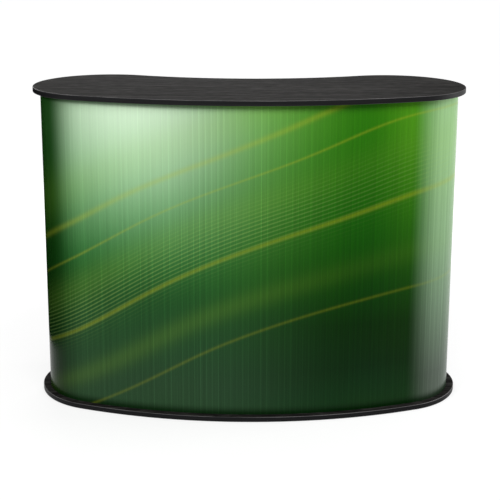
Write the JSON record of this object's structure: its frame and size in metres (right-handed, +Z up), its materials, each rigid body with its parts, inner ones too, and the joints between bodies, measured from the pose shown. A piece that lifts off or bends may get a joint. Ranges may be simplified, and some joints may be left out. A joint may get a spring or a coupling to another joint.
{
  "type": "exhibition counter",
  "caption": "Kidney-shaped exhibition counter: wood-grain top and base plates, a printed slatted wall bent round the front and ends, posts and a height-adjustable shelf inside.",
  "frame": {"origin": "middle of the footprint's box, on the floor under the rubber pads", "axes": "+X to the right seen from the front, +Y towards the open rear, +Z up"},
  "size_m": [1.3, 0.5209, 0.96],
  "materials": {
    "woodgrain_laminate": "black wood-grain laminate, matt, finely grained",
    "edge_band": "smooth black edge band",
    "board_core": "fine fibreboard, black melamine underside",
    "shelf_melamine": "matt black melamine",
    "pad_rubber": "matt",
    "zinc_steel": "zinc plated",
    "knob_plastic": "fine grained",
    "plug_plastic": "satin",
    "anodised_aluminium": "natural anodised, fine drawing lines",
    "socket_nylon": "moulded black nylon",
    "slat_plastic": "extruded light grey plastic",
    "backing_cloth": "plain woven dark grey cloth",
    "print_film": "semi-gloss film printed in shades of green"
  },
  "bodies": {
    "base": {"base_board": "board_core", "base_laminate": "woodgrain_laminate", "base_edge_band": "edge_band", "base_rubber_pads": "pad_rubber", "base_socket_screws": "zinc_steel", "base_socket_front_left": "socket_nylon", "base_socket_front_right": "socket_nylon", "base_socket_rear_left": "socket_nylon", "base_socket_rear_right": "socket_nylon", "post_front_left": "anodised_aluminium", "post_front_right": "anodised_aluminium", "post_rear_left": "anodised_aluminium", "post_rear_right": "anodised_aluminium", "post_foot_plugs": "plug_plastic", "post_head_plugs": "plug_plastic", "wall_slats_left": "slat_plastic", "wall_slats_front": "slat_plastic", "wall_slats_right": "slat_plastic", "wall_backing_cloth": "backing_cloth", "wall_print_film": "print_film", "wall_end_profile_left": "anodised_aluminium", "wall_end_profile_right": "anodised_aluminium"},
    "top": {"top_board": "board_core", "top_laminate": "woodgrain_laminate", "top_edge_band": "edge_band", "top_socket_screws": "zinc_steel", "top_socket_front_left": "socket_nylon", "top_socket_front_right": "socket_nylon", "top_socket_rear_left": "socket_nylon", "top_socket_rear_right": "socket_nylon"},
    "shelf": {"shelf_board": "shelf_melamine", "shelf_edge_band": "edge_band", "shelf_collar_screws": "zinc_steel", "shelf_collar_front_left": "socket_nylon", "shelf_collar_front_right": "socket_nylon", "shelf_collar_rear_left": "socket_nylon", "shelf_collar_rear_right": "socket_nylon"},
    "clamp_front_left": {"clamp_stud_front_left": "zinc_steel", "clamp_knob_front_left": "knob_plastic"},
    "clamp_front_right": {"clamp_stud_front_right": "zinc_steel", "clamp_knob_front_right": "knob_plastic"},
    "clamp_rear_left": {"clamp_stud_rear_left": "zinc_steel", "clamp_knob_rear_left": "knob_plastic"},
    "clamp_rear_right": {"clamp_stud_rear_right": "zinc_steel", "clamp_knob_rear_right": "knob_plastic"}
  },
  "joints": [
    {"name": "top_lift", "type": "slide", "parent": "base", "child": "top", "axis": [0, 0, 1], "range_m": [0, 0.12]},
    {"name": "shelf_height", "type": "slide", "parent": "base", "child": "shelf", "axis": [0, 0, 1], "range_m": [-0.3, 0.3]},
    {"name": "clamp_front_left_turn", "type": "hinge", "parent": "shelf", "child": "clamp_front_left", "pos_m": [-0.3268, -0.09767, 0.452], "axis": [0, 1, 0], "range_deg": [0, 360]},
    {"name": "clamp_front_right_turn", "type": "hinge", "parent": "shelf", "child": "clamp_front_right", "pos_m": [0.3268, -0.09767, 0.452], "axis": [0, 1, 0], "range_deg": [0, 360]},
    {"name": "clamp_rear_left_turn", "type": "hinge", "parent": "shelf", "child": "clamp_rear_left", "pos_m": [-0.395, 0.17217, 0.452], "axis": [1, 0, 0], "range_deg": [0, 360]},
    {"name": "clamp_rear_right_turn", "type": "hinge", "parent": "shelf", "child": "clamp_rear_right", "pos_m": [0.395, 0.17217, 0.452], "axis": [-1, 0, 0], "range_deg": [0, 360]}
  ]
}
